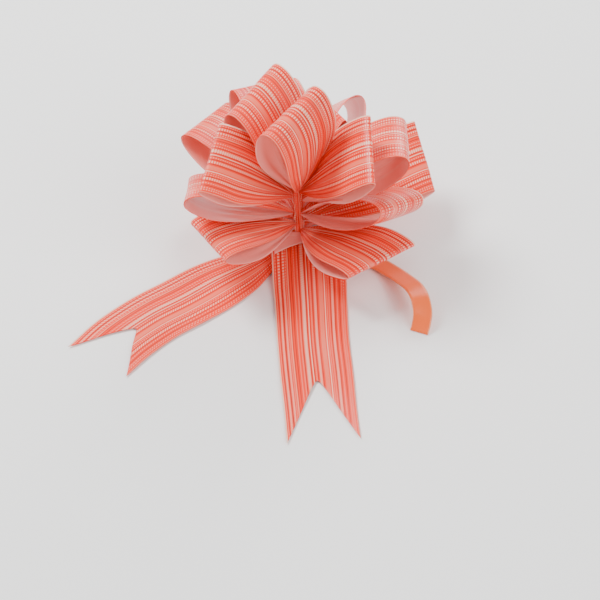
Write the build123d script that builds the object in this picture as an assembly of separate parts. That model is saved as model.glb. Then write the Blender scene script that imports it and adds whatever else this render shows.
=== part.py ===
from build123d import *
import os
from math import cos, pi, radians, sin

# A pull bow of one printed ribbon, standing free on a flat surface. Millimetres, +Z up.
# The origin is on the resting surface, under the column where all the loops are pinched.

# Printed ribbon
ribbon_width = 50.0
ribbon_thickness = 0.45
neck_width = 2.6
neck_gap = 1.3
fan_share = 0.9  # of a loop's length, over which the pinched ribbon opens to its full width
loop_sections = 19

# Pull ribbon, the narrow plain ribbon that gathers the loops
pull_width = 12.0
pull_thickness = 0.5

# Column of necks, with the bunched pull ribbon inside it
column_radius = 2.1
column_clearance = 1.1
column_top = 52.0

# Knot under the column, with the flat the bow stands on
knot_length = 19.0
knot_depth = 15.0
knot_height = 10.6
knot_corner = 3.5

# Swallow-tailed ends of the printed ribbon
front_swallow = 55.0
left_swallow = 39.0
prong_tip = 3.0  # width left at the point of each prong

pull_clearance = 1.9  # from the knot to the end of the pull ribbon
root_clearance = 1.0  # from the knot to the left tail, and from the knot's top to the front tail

# Middle line of each free strip, from the knot outwards: (x, y, z, share of its full width)
FRONT_TAIL = [(5, -knot_depth / 2 - 2 * root_clearance, knot_height + root_clearance, 0.94),
              (5, -17, 9.4, 0.94), (5, -27, 6.2, 0.94), (5, -40, 2.8, 0.94), (5, -56, 0.9, 0.92),
              (5, -90, 0.5, 0.9), (6, -120, 0.5, 0.9), (7, -150, 0.5, 0.88), (8, -178, 0.5, 0.88)]
LEFT_TAIL = [(-knot_length / 2 - root_clearance, -4, 6, 0.2), (-18, -8.5, 2.8, 0.36),
             (-28, -15, 0.9, 0.56), (-40, -23, 0.5, 0.8), (-56, -34, 0.5, 0.94),
             (-75, -48, 0.5, 0.96), (-95, -62, 0.5, 0.96), (-113, -79, 0.5, 0.96),
             (-129, -99, 0.5, 0.94)]
PULL_END = [(knot_length / 2 + pull_clearance, -2.2, 5, 1), (18, -5.2, 2.6, 1), (26, -9, 1.2, 1),
            (37, -14, 0.8, 1), (48, -20.5, 1.4, 1), (58, -33, 4, 1), (65, -47, 9, 1), (70, -59, 13, 1),
            (73, -70, 13.5, 1), (74, -79, 9, 1), (72.5, -84.5, 3.5, 1), (71, -87.5, 0.6, 1)]

# Edge points of the turned-over corner of ribbon over the front tail, from the column outwards.
# Heights are above the knot.
FOLD = [((0.5, -2.4, 5), (2, -3.4, 4.6)), ((-4, -1, 4.6), (-2.5, -7.5, 3.6)),
        ((-10, 0, 3.8), (-8.5, -12.5, 2.2)), ((-17, 0.5, 2.8), (-15.5, -17, 0.8))]

# Each loop of the printed ribbon. aim: heading and climb of the loop, in degrees. across: heading
# and climb of the ribbon's width. length: neck to tip. opening: the widest gap between its legs.
# neck: height of its neck. droop: how far its tip bends out of its aim. flare: how much larger the
# loop is at one edge than at its middle. slim: how late the legs part.
LOOPS = {
    "loop_crown": dict(aim=(-83, 74), across=(227, -18), length=78, opening=18, neck=52,
                       droop=3, flare=0.05, slim=0.8),
    "loop_left_high": dict(aim=(138, 64), across=(231, -11), length=68, opening=16, neck=52,
                           droop=0, flare=0.0, slim=0.8),
    "loop_left_front": dict(aim=(208, 44), across=(252, -20), length=78, opening=10, neck=46,
                            droop=0, flare=0.0, slim=1.0),
    "loop_left_wide": dict(aim=(189, 25), across=(268, 22), length=74, opening=14, neck=30,
                           droop=0, flare=0.0, slim=1.0),
    "loop_left_low": dict(aim=(214, 17), across=(296, 6), length=69, opening=11, neck=22,
                          droop=0, flare=0.0, slim=1.0),
    "loop_back_high": dict(aim=(106, 31), across=(212, 14), length=76, opening=12, neck=45,
                           droop=0, flare=0.0, slim=1.0),
    "loop_back_left": dict(aim=(138, 20), across=(236, 8), length=80, opening=12, neck=40,
                           droop=0, flare=0.0, slim=1.0),
    "loop_right_high": dict(aim=(-38, 46), across=(264, -24), length=80, opening=10, neck=49,
                            droop=0, flare=0.05, slim=1.0),
    "loop_right_wide": dict(aim=(-5, 36), across=(268, 8), length=82, opening=17, neck=41,
                            droop=0, flare=0.0, slim=1.0),
    "loop_right_far": dict(aim=(24, 10), across=(283, -30), length=90, opening=13, neck=24,
                           droop=2, flare=0.0, slim=1.0),
    "loop_right_front": dict(aim=(-30, 24), across=(230, 24), length=78, opening=16, neck=30,
                             droop=0, flare=0.0, slim=1.0),
    "loop_right_low": dict(aim=(-48, 13), across=(210, -3), length=74, opening=9, neck=17,
                           droop=0, flare=0.0, slim=1.0),
    "loop_back_crown": dict(aim=(55, 50), across=(294, 8), length=56, opening=9, neck=48,
                            droop=0, flare=0.0, slim=1.0),
    "loop_back_right": dict(aim=(64, 17), across=(288, 42), length=90, opening=18, neck=30,
                            droop=0, flare=0.0, slim=1.0),
    "loop_back_low_right": dict(aim=(70, -5), across=(180, 0), length=76, opening=12, neck=14,
                                droop=0, flare=0.0, slim=1.0),
    "loop_back_low_left": dict(aim=(134, -5), across=(222, 2), length=74, opening=13, neck=23,
                               droop=0, flare=0.0, slim=1.0),
}


def heading(azimuth, climb):
    """Unit vector at an azimuth from +X and a climb above level, both in degrees."""
    flat = cos(radians(climb))
    return Vector(cos(radians(azimuth)) * flat, sin(radians(azimuth)) * flat, sin(radians(climb)))


def section(near, far, normal, thickness):
    """Corners of the ribbon's cross-section between its two edges."""
    half = normal * (thickness / 2)
    return [near + half, far + half, far - half, near - half]


def strip(edges, thickness):
    """Closed thin solid of flat facets through pairs of edge points, one pair for each section."""
    middles = [(near + far) * 0.5 for near, far in edges]
    sections = []
    for i, (near, far) in enumerate(edges):
        ahead = middles[min(i + 1, len(edges) - 1)] - middles[max(i - 1, 0)]
        sections.append(section(near, far, ahead.cross(far - near).normalized(), thickness))
    facets = [sections[0], sections[-1]]
    for first, second in zip(sections, sections[1:]):
        for i in range(4):
            k = (i + 1) % 4
            facets.append([first[i], first[k], second[k]])
            facets.append([first[i], second[k], second[i]])
    return Solid(Shell([Face(Wire.make_polygon(corners)) for corners in facets]))


def teardrop(share, slim):
    """How far the legs stand from the loop's middle, at a share of the way round it."""
    return sin(2 * pi * share) * abs(sin(pi * share)) ** slim


def loop_edges(size):
    """Edge points of one loop, from the column out round its tip and back."""
    aim = heading(*size["aim"])
    across = heading(*size["across"])
    out = across.cross(aim).normalized()
    neck = heading(size["aim"][0], 0) * (column_radius + column_clearance)
    neck += Vector(0, 0, size["neck"])
    fullest = max(teardrop(i / 200, size["slim"]) for i in range(200))
    edges = []
    for i in range(loop_sections):
        share = i / (loop_sections - 1)
        along = (1 - cos(2 * pi * share)) / 2
        side = teardrop(share, size["slim"]) / fullest * size["opening"] / 2
        side += neck_gap / 2 * cos(pi * share) + size["droop"] * along**2
        opened = sin(pi / 2 * min(along / fan_share, 1))
        half = (neck_width + (ribbon_width - neck_width) * opened) / 2
        pair = []
        for edge in (1, -1):
            scale = 1 + edge * size["flare"]
            point = neck + aim * (along * size["length"] * scale) + out * (side * scale)
            pair.append(point + across * (edge * half))
        edges.append(pair)
    return edges


def along(line, width):
    """Edge points of a strip that follows a middle line, level across its width."""
    points = [Vector(*stop[:3]) for stop in line]
    edges = []
    for i, (point, stop) in enumerate(zip(points, line)):
        ahead = points[min(i + 1, len(line) - 1)] - points[max(i - 1, 0)]
        aside = Vector(-ahead.Y, ahead.X, 0).normalized() * (stop[3] * width / 2)
        edges.append((point + aside, point - aside))
    return edges


def swallow_tail(line, depth):
    """Strip of printed ribbon with a V cut out of its far end."""
    edges = along(line, ribbon_width)
    near, far = edges[-1]
    end = (near + far) * 0.5
    back = (Vector(*line[-2][:3]) - end).normalized()
    aside = (far - near).normalized() * (ribbon_width / 2 - prong_tip)
    below = Vector(0, 0, -ribbon_width)
    notch = [end + aside - back, end - aside - back, end + back * depth]
    cutter = extrude(Face(Wire.make_polygon([p + below for p in notch])), 2 * ribbon_width, (0, 0, 1))
    return (strip(edges, ribbon_thickness) - cutter).solid()


def knot():
    """Knot of the pull ribbon, flat underneath."""
    block = Pos(0, 0, knot_height / 2) * Box(knot_length, knot_depth, knot_height)
    upright = block.edges().filter_by(Axis.Z)
    block = fillet(upright, knot_corner)
    return fillet(block.faces().sort_by(Axis.Z)[-1].edges(), knot_corner)


def column():
    """Pull ribbon bunched up inside the necks, standing on the knot."""
    height = column_top - knot_height
    return Pos(0, 0, knot_height + height / 2) * Cylinder(column_radius, height)


parts = {name: strip(loop_edges(size), ribbon_thickness) for name, size in LOOPS.items()}
parts["tail_front"] = swallow_tail(FRONT_TAIL, front_swallow)
parts["tail_left"] = swallow_tail(LEFT_TAIL, left_swallow)
knot_top = Vector(0, 0, knot_height)
fold_edges = [(Vector(*near) + knot_top, Vector(*far) + knot_top) for near, far in FOLD]
parts["tail_fold"] = strip(fold_edges, ribbon_thickness)
parts["pull_ribbon_end"] = strip(along(PULL_END, pull_width), pull_thickness)
parts["pull_ribbon_column"] = column()
parts["pull_ribbon_knot"] = knot()

os.makedirs("parts", exist_ok=True)
for name, shape in parts.items():
    shape.label = name
    export_step(shape, f"parts/{name}.step")
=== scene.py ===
from math import cos, pi, radians, sin, sqrt

import bpy
from mathutils import Matrix, Vector, noise


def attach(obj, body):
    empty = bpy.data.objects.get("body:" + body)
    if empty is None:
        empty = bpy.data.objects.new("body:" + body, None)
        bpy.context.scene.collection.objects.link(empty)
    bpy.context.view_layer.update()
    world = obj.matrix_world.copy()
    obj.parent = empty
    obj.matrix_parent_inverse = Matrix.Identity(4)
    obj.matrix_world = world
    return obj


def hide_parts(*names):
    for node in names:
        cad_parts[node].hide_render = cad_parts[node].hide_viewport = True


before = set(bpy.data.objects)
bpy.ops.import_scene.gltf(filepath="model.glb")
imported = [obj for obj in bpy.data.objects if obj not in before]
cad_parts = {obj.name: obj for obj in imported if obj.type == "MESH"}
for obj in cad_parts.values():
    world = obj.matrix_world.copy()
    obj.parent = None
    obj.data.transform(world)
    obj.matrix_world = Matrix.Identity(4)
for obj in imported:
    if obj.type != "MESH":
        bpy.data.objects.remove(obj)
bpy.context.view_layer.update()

MM = 0.001
ROSETTE = "rosette"

# Printed ribbon, in millimetres
RIBBON_WIDTH = 50.0
RIBBON_THICKNESS = 0.36
NECK_WIDTH = 4.0
NECK_GAP = 1.3
NECK_RADIUS = 3.2
FAN_SHARE = 0.75  # of a loop's length, over which the pinched ribbon opens to its full width
PLEATS = 4
PLEAT_DEPTH = 0.3
STEEPEST_PLEAT = 3
FRONT_SWALLOW = 55.0
LEFT_SWALLOW = 39.0
NOTCH_ROUNDING = 0.004

# Pull ribbon
PULL_WIDTH = 12.0
PULL_THICKNESS = 0.4

# How much rounder some loops of cloth stand than the plain CAD strips
FULLER = {"loop_left_high": 1.5, "loop_crown": 1.3, "loop_back_left": 1.4, "loop_back_high": 1.4,
          "loop_right_wide": 1.25, "loop_right_front": 1.15, "loop_back_right": 1.1}

# Points of each mesh, along it and across it
LOOP_ROWS = 97
TAIL_ROWS = 120
COLUMNS = 41
FOLD_ROWS = 28
FOLD_COLUMNS = 13
PULL_ROWS = 81
PULL_COLUMNS = 9
BUNCH_ROWS = 60
BUNCH_COLUMNS = 91

# Unevenness of the cloth: its height, and the distance that it varies over
LOOP_WAVE = 0.5
LOOP_WAVE_REACH = 22
TAIL_WAVE = 0.7
TAIL_WAVE_REACH = 30

# Knot under the column, and what lies next to it
KNOT_LENGTH = 19.0
KNOT_DEPTH = 15.0
KNOT_HEIGHT = 10.6
COLUMN_TOP = 52.0
BUNCH_RADIUS = 2.7
BUNCH_THICKNESS = 0.3
BUNCH_FOLDS = 7
FOLD_SWELL = 0.35
RIPPLE_SWELL = 0.3
ROOT_CLEARANCE = 1.0
PULL_CLEARANCE = 1.9

# The loops as they stand in the CAD: aim and across are a heading and a climb in degrees.
LOOPS = {
    "loop_crown": dict(aim=(-83, 74), across=(227, -18), length=78, opening=18, neck=52,
                       droop=3, flare=0.05, slim=0.8),
    "loop_left_high": dict(aim=(138, 64), across=(231, -11), length=68, opening=16, neck=52,
                           droop=0, flare=0.0, slim=0.8),
    "loop_left_front": dict(aim=(208, 44), across=(252, -20), length=78, opening=10, neck=46,
                            droop=0, flare=0.0, slim=1.0),
    "loop_left_wide": dict(aim=(189, 25), across=(268, 22), length=74, opening=14, neck=30,
                           droop=0, flare=0.0, slim=1.0),
    "loop_left_low": dict(aim=(214, 17), across=(296, 6), length=69, opening=11, neck=22,
                          droop=0, flare=0.0, slim=1.0),
    "loop_back_high": dict(aim=(106, 31), across=(212, 14), length=76, opening=12, neck=45,
                           droop=0, flare=0.0, slim=1.0),
    "loop_back_left": dict(aim=(138, 20), across=(236, 8), length=80, opening=12, neck=40,
                           droop=0, flare=0.0, slim=1.0),
    "loop_right_high": dict(aim=(-38, 46), across=(264, -24), length=80, opening=10, neck=49,
                            droop=0, flare=0.05, slim=1.0),
    "loop_right_wide": dict(aim=(-5, 36), across=(268, 8), length=82, opening=17, neck=41,
                            droop=0, flare=0.0, slim=1.0),
    "loop_right_far": dict(aim=(24, 10), across=(283, -30), length=90, opening=13, neck=24,
                           droop=2, flare=0.0, slim=1.0),
    "loop_right_front": dict(aim=(-30, 24), across=(230, 24), length=78, opening=16, neck=30,
                             droop=0, flare=0.0, slim=1.0),
    "loop_right_low": dict(aim=(-48, 13), across=(210, -3), length=74, opening=9, neck=17,
                           droop=0, flare=0.0, slim=1.0),
    "loop_back_crown": dict(aim=(55, 50), across=(294, 8), length=56, opening=9, neck=48,
                            droop=0, flare=0.0, slim=1.0),
    "loop_back_right": dict(aim=(64, 17), across=(288, 42), length=90, opening=18, neck=30,
                            droop=0, flare=0.0, slim=1.0),
    "loop_back_low_right": dict(aim=(70, -5), across=(180, 0), length=76, opening=12, neck=14,
                                droop=0, flare=0.0, slim=1.0),
    "loop_back_low_left": dict(aim=(134, -5), across=(222, 2), length=74, opening=13, neck=23,
                               droop=0, flare=0.0, slim=1.0),
}

# Middle lines of the free strips, from the knot outwards: (x, y, z, share of the full width)
FRONT_TAIL = [(5, -KNOT_DEPTH / 2 - 2 * ROOT_CLEARANCE, KNOT_HEIGHT + ROOT_CLEARANCE, 0.94),
              (5, -17, 9.4, 0.94), (5, -27, 6.2, 0.94), (5, -40, 2.8, 0.94), (5, -56, 0.9, 0.92),
              (5, -90, 0.5, 0.9), (6, -120, 0.5, 0.9), (7, -150, 0.5, 0.88), (8, -178, 0.5, 0.88)]
LEFT_TAIL = [(-KNOT_LENGTH / 2 - ROOT_CLEARANCE, -4, 6, 0.2), (-18, -8.5, 2.8, 0.36),
             (-28, -15, 0.9, 0.56), (-40, -23, 0.5, 0.8), (-56, -34, 0.5, 0.94),
             (-75, -48, 0.5, 0.96), (-95, -62, 0.5, 0.96), (-113, -79, 0.5, 0.96),
             (-129, -99, 0.5, 0.94)]
PULL_END = [(KNOT_LENGTH / 2 + PULL_CLEARANCE, -2.2, 5, 1), (18, -5.2, 2.6, 1), (26, -9, 1.2, 1),
            (37, -14, 0.8, 1), (48, -20.5, 1.4, 1), (58, -33, 4, 1), (65, -47, 9, 1), (70, -59, 13, 1),
            (73, -70, 13.5, 1), (74, -79, 9, 1), (72.5, -84.5, 3.5, 1), (71, -87.5, 0.6, 1)]

# Edges of the turned-over corner between the knot and the front tail, from the column outwards
FLAP = [((2.5, -3.4, 16), (8.5, -6, 15)), ((-3.5, -2.8, 15.8), (1.5, -11.5, 14)),
        ((-10, 1, 15), (-8, -14.5, 12.8)), ((-18.5, 1.5, 13.8), (-16.5, -18.5, 11.4))]


# ---------------------------------------------------------------- ribbon geometry
def heading(azimuth, climb):
    flat = cos(radians(climb))
    return Vector((cos(radians(azimuth)) * flat, sin(radians(azimuth)) * flat, sin(radians(climb))))


def teardrop(share, slim):
    return sin(2 * pi * share) * abs(sin(pi * share)) ** slim


def loop_rows(size, fuller, seed):
    """Rows of points across the ribbon, from the column out round the loop's tip and back."""
    aim = heading(*size["aim"])
    across = heading(*size["across"])
    out = across.cross(aim).normalized()
    neck = heading(size["aim"][0], 0) * NECK_RADIUS + Vector((0, 0, size["neck"]))
    fullest = max(teardrop(i / 200, size["slim"]) for i in range(200))
    rows = []
    for i in range(LOOP_ROWS):
        share = i / (LOOP_ROWS - 1)
        along = (1 - cos(2 * pi * share)) / 2
        side = teardrop(share, size["slim"]) / fullest * size["opening"] / 2 * fuller
        side += NECK_GAP / 2 * cos(pi * share) + size["droop"] * along**2
        opened = sin(pi / 2 * min(along / FAN_SHARE, 1))
        width = NECK_WIDTH + (RIBBON_WIDTH - NECK_WIDTH) * opened
        row = []
        for j in range(COLUMNS):
            edge = 1 - 2 * j / (COLUMNS - 1)
            scale = 1 + edge * size["flare"]
            point = neck + aim * (along * size["length"] * scale) + out * (side * scale)
            row.append(point + across * (edge * width / 2))
        rows.append(row)
    return gathered(rows, seed)


def gathered(rows, seed):
    """Puts the pleats of the pinched end and a slight unevenness into flat rows."""
    normals = row_normals(rows)
    shaped = []
    for row, normal in zip(rows, normals):
        width = (row[0] - row[-1]).length
        gather = max(RIBBON_WIDTH / width, 1)
        slope = min(sqrt(2 * (gather**2 - 1)), STEEPEST_PLEAT)
        pleat = PLEAT_DEPTH * slope * width / (2 * pi * PLEATS)
        line = []
        for j, point in enumerate(row):
            u = j / (len(row) - 1)
            wave = cos(2 * pi * (PLEATS * u + 0.13 * seed) + sin(7 * u + seed)) * pleat
            rough = noise.noise(point / LOOP_WAVE_REACH + Vector((0, 0, 9.7 * seed)))
            line.append(point + normal * (wave + LOOP_WAVE * rough))
        shaped.append(line)
    return shaped


def row_normals(rows):
    """Unit normal of the strip at each row."""
    normals = []
    for i, row in enumerate(rows):
        ahead = rows[min(i + 1, len(rows) - 1)]
        behind = rows[max(i - 1, 0)]
        middle = len(row) // 2
        normals.append((ahead[middle] - behind[middle]).cross(row[-1] - row[0]).normalized())
    return normals


def curve_through(stops, share):
    """Point on a smooth line through stops, at a share of its length."""
    steps = [0.0]
    for p, q in zip(stops, stops[1:]):
        steps.append(steps[-1] + (Vector(p[:3]) - Vector(q[:3])).length)
    reach = share * steps[-1]
    k = max(i for i in range(len(stops) - 1) if steps[i] <= reach)
    t = (reach - steps[k]) / (steps[k + 1] - steps[k])
    a, b, c, d = (stops[min(max(k + i, 0), len(stops) - 1)] for i in (-1, 0, 1, 2))
    before = (steps[k + 1] - steps[k]) / max(steps[k + 1] - steps[max(k - 1, 0)], 0.001)
    after = (steps[k + 1] - steps[k]) / max(steps[min(k + 2, len(stops) - 1)] - steps[k], 0.001)
    point = []
    for p, q, r, s in zip(a, b, c, d):
        leave, arrive = (r - p) * before, (s - q) * after
        point.append((2 * t**3 - 3 * t**2 + 1) * q + (t**3 - 2 * t**2 + t) * leave
                     + (3 * t**2 - 2 * t**3) * r + (t**3 - t**2) * arrive)
    return point


def strip_point(stops, width, share, u):
    """Point at u, from 0 to 1 across a strip that follows a middle line."""
    x, y, z, spread = curve_through(stops, share)
    step = 0.01
    before = curve_through(stops, max(share - step, 0))
    after = curve_through(stops, min(share + step, 1))
    aside = Vector((before[1] - after[1], after[0] - before[0], 0)).normalized()
    return Vector((x, y, z)) + aside * (width * spread * (0.5 - u))


def line_length(stops):
    """Length of the straight runs between stops."""
    return sum((Vector(a[:3]) - Vector(b[:3])).length for a, b in zip(stops, stops[1:]))


def tail_rows(stops, notch):
    """Rows of a tail whose far end is cut to a swallow tail."""
    length = line_length(stops)
    rows = []
    for i in range(TAIL_ROWS):
        t = i / (TAIL_ROWS - 1)
        row = []
        for j in range(COLUMNS):
            u = j / (COLUMNS - 1)
            inward = 1 - sqrt((2 * u - 1) ** 2 + NOTCH_ROUNDING)
            point = strip_point(stops, RIBBON_WIDTH, t * (1 - notch / length * inward), u)
            ripple = noise.noise(Vector((point.x, point.y, 0)) / TAIL_WAVE_REACH)
            point.z += TAIL_WAVE * (1 + ripple) * min(1, 3 * t)
            row.append(point)
        rows.append(row)
    return rows


def between(pairs):
    """Rows between two edge lines, given as pairs of points."""
    rows = []
    for i in range(FOLD_ROWS):
        share = i / (FOLD_ROWS - 1)
        near, far = (Vector(curve_through([pair[side] for pair in pairs], share)) for side in (0, 1))
        rows.append([near.lerp(far, j / (FOLD_COLUMNS - 1)) for j in range(FOLD_COLUMNS)])
    return rows


def ribbon(name, rows, outward, slots, thickness=RIBBON_THICKNESS):
    """A sheet with real thickness from rows of points in millimetres. outward tells which way the
    first material faces at the middle row, slots are the outer and the inner material. Gives the
    piece and the length of its middle line."""
    n, m = len(rows), len(rows[0])
    normals = []
    for i in range(n):
        for j in range(m):
            along = rows[min(i + 1, n - 1)][j] - rows[max(i - 1, 0)][j]
            aside = rows[i][min(j + 1, m - 1)] - rows[i][max(j - 1, 0)]
            normals.append(along.cross(aside).normalized())
    flipped = normals[n // 2 * m + m // 2].dot(outward) < 0
    if flipped:
        normals = [-normal for normal in normals]
    points = [(rows[k // m][k % m] + side * normals[k] * thickness / 2) * MM
              for side in (1, -1) for k in range(n * m)]
    reach = [0.0]
    for i in range(1, n):
        reach.append(reach[-1] + (rows[i][m // 2] - rows[i - 1][m // 2]).length)
    back = n * m
    faces, kinds = [], []

    def quad(a, b, c, d, kind):
        faces.append((d, c, b, a) if flipped else (a, b, c, d))
        kinds.append(kind)

    for i in range(n - 1):
        for j in range(m - 1):
            a, b, c, d = i * m + j, (i + 1) * m + j, (i + 1) * m + j + 1, i * m + j + 1
            quad(a, b, c, d, 0)
            quad(back + d, back + c, back + b, back + a, 1)
        a, b = i * m, i * m + m - 1
        quad(a, back + a, back + a + m, a + m, 0)
        quad(b + m, back + b + m, back + b, b, 0)
    for j in range(m - 1):
        quad(j + 1, back + j + 1, back + j, j, 0)
        a = (n - 1) * m + j
        quad(a, back + a, back + a + 1, a + 1, 0)
    mesh = bpy.data.meshes.new(name)
    mesh.from_pydata([tuple(p) for p in points], [], faces)
    layer = mesh.uv_layers.new(name="ribbon")
    for loop in mesh.loops:
        k = loop.vertex_index % back
        layer.data[loop.index].uv = (k % m / (m - 1), reach[k // m] * MM)
    for material in slots:
        mesh.materials.append(material)
    for polygon, kind in zip(mesh.polygons, kinds):
        polygon.material_index = kind
        polygon.use_smooth = True
    mesh.update()
    piece = bpy.data.objects.new(name, mesh)
    bpy.context.scene.collection.objects.link(piece)
    return piece, reach[-1]


# ---------------------------------------------------------------- materials
class Nodes:
    """Short names for building a material."""

    def __init__(self, name):
        self.material = bpy.data.materials.new(name)
        self.material.use_nodes = True
        self.tree = self.material.node_tree
        self.shader = self.tree.nodes["Principled BSDF"]

    def add(self, kind, **values):
        node = self.tree.nodes.new(kind)
        for key, value in values.items():
            setattr(node, key, value)
        return node

    def link(self, source, target):
        self.tree.links.new(source, target)

    def math(self, operation, a, b=0.0, clamp=False):
        node = self.add("ShaderNodeMath", operation=operation, use_clamp=clamp)
        for socket, value in zip(node.inputs, (a, b)):
            if isinstance(value, (int, float)):
                socket.default_value = value
            else:
                self.link(value, socket)
        return node.outputs[0]

    def scaled(self, source, scale, offset, clamp=False):
        """source times scale, plus offset."""
        node = self.add("ShaderNodeMath", operation="MULTIPLY_ADD", use_clamp=clamp)
        self.link(source, node.inputs[0])
        node.inputs[1].default_value = scale
        node.inputs[2].default_value = offset
        return node.outputs[0]

    def cloud(self, scale):
        """Soft unevenness over the piece, from 0 to 1."""
        noise_node = self.add("ShaderNodeTexNoise")
        noise_node.inputs["Scale"].default_value = scale
        place = self.add("ShaderNodeTexCoord")
        self.link(place.outputs["Object"], noise_node.inputs["Vector"])
        return noise_node.outputs[0]

    def mix(self, factor, a, b):
        node = self.add("ShaderNodeMix", data_type="RGBA")
        for socket, value in ((node.inputs[0], factor), (node.inputs[6], a), (node.inputs[7], b)):
            if isinstance(value, (int, float, tuple)):
                socket.default_value = value
            else:
                self.link(value, socket)
        return node.outputs[2]

    def ribbon_coordinates(self):
        """Share of the way across the ribbon, and metres along it."""
        uv = self.add("ShaderNodeUVMap", uv_map="ribbon")
        split = self.add("ShaderNodeSeparateXYZ")
        self.link(uv.outputs[0], split.inputs[0])
        return split.outputs[0], split.outputs[1]

    def bands(self, source, background, bands):
        """Colours in bands over 0 to 1: each band is (from, to, colour)."""
        ramp = self.add("ShaderNodeValToRGB")
        ramp.color_ramp.interpolation = "CONSTANT"
        stops = ramp.color_ramp.elements
        stops[0].color = background
        stops[0].position = 0.0
        stops.remove(stops[1])
        for start, end, colour in bands:
            stops.new(start).color = colour
            stops.new(end).color = background
        self.link(source, ramp.inputs[0])
        return ramp.outputs[0]

    def set(self, **values):
        for key, value in values.items():
            self.shader.inputs[key.replace("_", " ")].default_value = value

    def bump(self, height, strength, distance):
        node = self.add("ShaderNodeBump")
        node.inputs["Strength"].default_value = strength
        node.inputs["Distance"].default_value = distance
        self.link(height, node.inputs["Height"])
        self.link(node.outputs[0], self.shader.inputs["Normal"])


CORAL = (1.0, 0.028, 0.002, 1)
DEEP = (0.45, 0.004, 0.003, 1)
ROSE = (1.0, 0.17, 0.10, 1)
WHITE = (1.0, 0.62, 0.46, 1)
PALE = (1.0, 0.30, 0.19, 1)
PINK = (1.0, 0.36, 0.31, 1)
PALE_PINK = (1.0, 0.45, 0.39, 1)
ORANGE = (1.0, 0.13, 0.01, 1)
PEACH = (1.0, 0.32, 0.14, 1)
RUST = (0.75, 0.08, 0.01, 1)
NOTHING = (0, 0, 0, 1)
FULL = (1, 1, 1, 1)
HALF = (0.55, 0.55, 0.55, 1)

DOT_PITCH = 0.0017  # metres along the ribbon
RIB_PITCH = 0.0009
PULL_THREADS = 34

# Stripes across the printed ribbon, as shares of its width
SOLID_BANDS = [(0.0, 0.012, PALE), (0.300, 0.312, WHITE), (0.325, 0.385, ROSE), (0.535, 0.545, WHITE),
               (0.585, 0.610, PALE), (0.784, 0.798, PALE), (0.978, 0.9999, WHITE)]
DARK_LINES = (0.104, 0.169, 0.230, 0.409, 0.473, 0.527, 0.564, 0.644, 0.742, 0.774, 0.879, 0.940)
DARK_HALF = 0.004
DARK_BANDS = [(middle - DARK_HALF, middle + DARK_HALF, FULL) for middle in DARK_LINES]
DOT_BANDS = [(0.036, 0.052, HALF), (0.066, 0.082, HALF), (0.130, 0.146, HALF), (0.186, 0.216, FULL),
             (0.244, 0.256, HALF), (0.270, 0.284, HALF), (0.424, 0.456, FULL),
             (0.490, 0.506, HALF), (0.575, 0.622, FULL), (0.655, 0.668, HALF),
             (0.696, 0.712, HALF), (0.812, 0.824, HALF), (0.838, 0.862, FULL), (0.898, 0.924, FULL),
             (0.952, 0.964, HALF)]


def printed_outside():
    """Coral satin with lengthwise stripes and rows of small woven dots."""
    n = Nodes("printed_outside")
    u, v = n.ribbon_coordinates()
    lines = n.mix(n.bands(u, NOTHING, DARK_BANDS), n.bands(u, CORAL, SOLID_BANDS), DEEP)
    beat = n.scaled(n.math("SINE", n.math("MULTIPLY", v, 2 * pi / DOT_PITCH)), 1.6, 0.55, clamp=True)
    dots = n.math("MULTIPLY", n.bands(u, NOTHING, DOT_BANDS), beat)
    rib = n.math("SINE", n.math("MULTIPLY", v, 2 * pi / RIB_PITCH))
    colour = n.mix(n.scaled(rib, 0.10, 0.10), n.mix(dots, lines, WHITE), DEEP)
    cloud = n.cloud(38)
    colour = n.mix(n.math("MULTIPLY", cloud, 0.08), colour, PALE)
    n.link(colour, n.shader.inputs["Base Color"])
    n.link(n.scaled(cloud, 0.16, 0.26), n.shader.inputs["Roughness"])
    n.set(Specular_IOR_Level=0.35)
    n.bump(n.math("ADD", rib, n.math("MULTIPLY", dots, 2.0)), 0.25, 0.0001)
    return n.material


def printed_inside():
    """The reverse of the printed ribbon: pale pink, with the stripes just showing through."""
    n = Nodes("printed_inside")
    u, v = n.ribbon_coordinates()
    through = n.bands(u, PINK, [(start, end, PALE_PINK) for start, end, _ in SOLID_BANDS])
    rib = n.math("SINE", n.math("MULTIPLY", v, 2 * pi / RIB_PITCH))
    cloud = n.cloud(30)
    colour = n.mix(n.scaled(rib, 0.05, 0.06), through, ROSE)
    n.link(n.mix(n.math("MULTIPLY", cloud, 0.12), colour, WHITE), n.shader.inputs["Base Color"])
    n.link(n.scaled(cloud, 0.15, 0.30), n.shader.inputs["Roughness"])
    n.set(Specular_IOR_Level=0.3)
    n.bump(rib, 0.15, 0.00008)
    return n.material


def pull_satin():
    """Plain orange satin with a fine lengthwise weave and paler edges."""
    n = Nodes("pull_satin")
    u, _ = n.ribbon_coordinates()
    thread = n.math("SINE", n.math("MULTIPLY", u, 2 * pi * PULL_THREADS))
    cloud = n.cloud(60)
    edged = n.bands(u, ORANGE, [(0.0, 0.05, PEACH), (0.95, 0.9999, PEACH)])
    colour = n.mix(n.scaled(thread, 0.06, 0.08), edged, RUST)
    n.link(n.mix(n.math("MULTIPLY", cloud, 0.12), colour, PEACH), n.shader.inputs["Base Color"])
    n.link(n.scaled(cloud, 0.12, 0.24), n.shader.inputs["Roughness"])
    n.set(Specular_IOR_Level=0.4)
    n.bump(thread, 0.2, 0.00006)
    return n.material


OUTSIDE, INSIDE, SATIN = printed_outside(), printed_inside(), pull_satin()


# ---------------------------------------------------------------- pieces
UP = Vector((0, 0, 1))


def dress(piece, node, body):
    """Hides the CAD node that the sheet stands in for and attaches the sheet to its body."""
    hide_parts(node)
    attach(piece, body)


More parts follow.
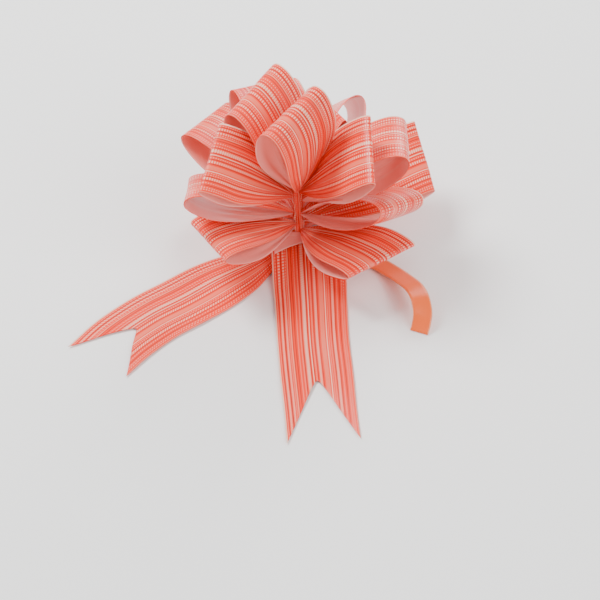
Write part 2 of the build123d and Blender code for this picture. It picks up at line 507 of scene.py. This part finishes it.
def tail(name, node, body, stops, notch):
    """A swallow-tailed end. The V takes a triangle off the flat cut."""
    piece, _ = ribbon(name, tail_rows(stops, notch), UP, (OUTSIDE, INSIDE))
    dress(piece, node, body)


for number, (node, size) in enumerate(LOOPS.items()):
    rows = loop_rows(size, FULLER.get(node, 1), number)
    outward = heading(*size["aim"])
    piece, reach = ribbon(node + "_ribbon", rows, outward, (OUTSIDE, INSIDE))
    dress(piece, node, ROSETTE)

tail("front_tail_ribbon", "tail_front", "front_tail", FRONT_TAIL, FRONT_SWALLOW)
tail("left_tail_ribbon", "tail_left", "left_tail", LEFT_TAIL, LEFT_SWALLOW)

fold_rows = between(FLAP)
fold, fold_reach = ribbon("fold_ribbon", fold_rows, UP, (INSIDE, OUTSIDE))
dress(fold, "tail_fold", ROSETTE)

pull_rows = [[strip_point(PULL_END, PULL_WIDTH, i / (PULL_ROWS - 1), j / (PULL_COLUMNS - 1))
              for j in range(PULL_COLUMNS)] for i in range(PULL_ROWS)]
pull, pull_reach = ribbon("pull_ribbon_strip", pull_rows, UP, (SATIN, SATIN), PULL_THICKNESS)
dress(pull, "pull_ribbon_end", "tie_ribbon")


def bunched(radius, low, high):
    """Rows of a tube of bunched ribbon round the column, with uneven lengthwise folds."""
    rows = []
    for i in range(BUNCH_ROWS):
        t = i / (BUNCH_ROWS - 1)
        row = []
        for j in range(BUNCH_COLUMNS):
            turn = 2 * pi * j / (BUNCH_COLUMNS - 1)
            swell = FOLD_SWELL * sin(BUNCH_FOLDS * turn + 5 * t)
            swell += RIPPLE_SWELL * sin(34 * t + 2 * turn + 0.4)
            reach = radius + swell
            row.append(Vector((cos(turn) * reach, sin(turn) * reach, low + (high - low) * t)))
        rows.append(row)
    return rows


neck_rows = bunched(BUNCH_RADIUS, KNOT_HEIGHT + 0.9, COLUMN_TOP + 0.5)
neck, _ = ribbon("neck_ribbon", neck_rows, Vector((1, 0, 0)), (INSIDE, OUTSIDE), BUNCH_THICKNESS)
dress(neck, "pull_ribbon_column", ROSETTE)

knot_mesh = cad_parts["pull_ribbon_knot"].data
knot_mesh.materials.clear()
knot_mesh.materials.append(SATIN)


# ---------------------------------------------------------------- stage, light and camera
def stage_floor():
    mesh = bpy.data.meshes.new("floor")
    half = 3.0
    mesh.from_pydata([(-half, -half, 0), (half, -half, 0), (half, half, 0), (-half, half, 0)], [],
                     [(0, 1, 2, 3)])
    floor = bpy.data.objects.new("floor", mesh)
    n = Nodes("floor_paint")
    n.set(Base_Color=(0.93, 0.93, 0.92, 1), Roughness=0.7)
    mesh.materials.append(n.material)
    bpy.context.scene.collection.objects.link(floor)


def area_light(name, place, size, power, colour=(1, 1, 1)):
    light = bpy.data.lights.new(name, "AREA")
    light.shape = "DISK"
    light.size = size
    light.energy = power
    light.color = colour
    lamp = bpy.data.objects.new(name, light)
    lamp.location = place
    lamp.rotation_euler = (-Vector(place)).to_track_quat("-Z", "Y").to_euler()
    bpy.context.scene.collection.objects.link(lamp)


def pale_world(strength):
    world = bpy.data.worlds.new("studio")
    world.use_nodes = True
    background = world.node_tree.nodes["Background"]
    background.inputs["Color"].default_value = (1, 1, 1, 1)
    background.inputs["Strength"].default_value = strength
    bpy.context.scene.world = world


def camera():
    """The view from in front and above, rolled a little."""
    place = Vector((-0.0018, -1.1576, 1.0007))
    forward = Vector((0, 0.7417, -0.6707))
    right = Vector((0.9987, -0.0348, -0.0385))
    up = right.cross(forward).normalized()
    data = bpy.data.cameras.new("camera")
    data.lens = 141.3
    data.sensor_width = 36
    view = bpy.data.objects.new("camera", data)
    turn = Matrix((right, up, -forward)).transposed().to_4x4()
    view.matrix_world = Matrix.Translation(place) @ turn
    bpy.context.scene.collection.objects.link(view)
    bpy.context.scene.camera = view


stage_floor()
area_light("key", (-0.7, 0.4, 1.3), 0.7, 31)
area_light("fill", (0.9, -0.9, 1.0), 1.2, 18)
area_light("rim", (0.5, 1.1, 0.7), 0.6, 12)
pale_world(0.62)
camera()
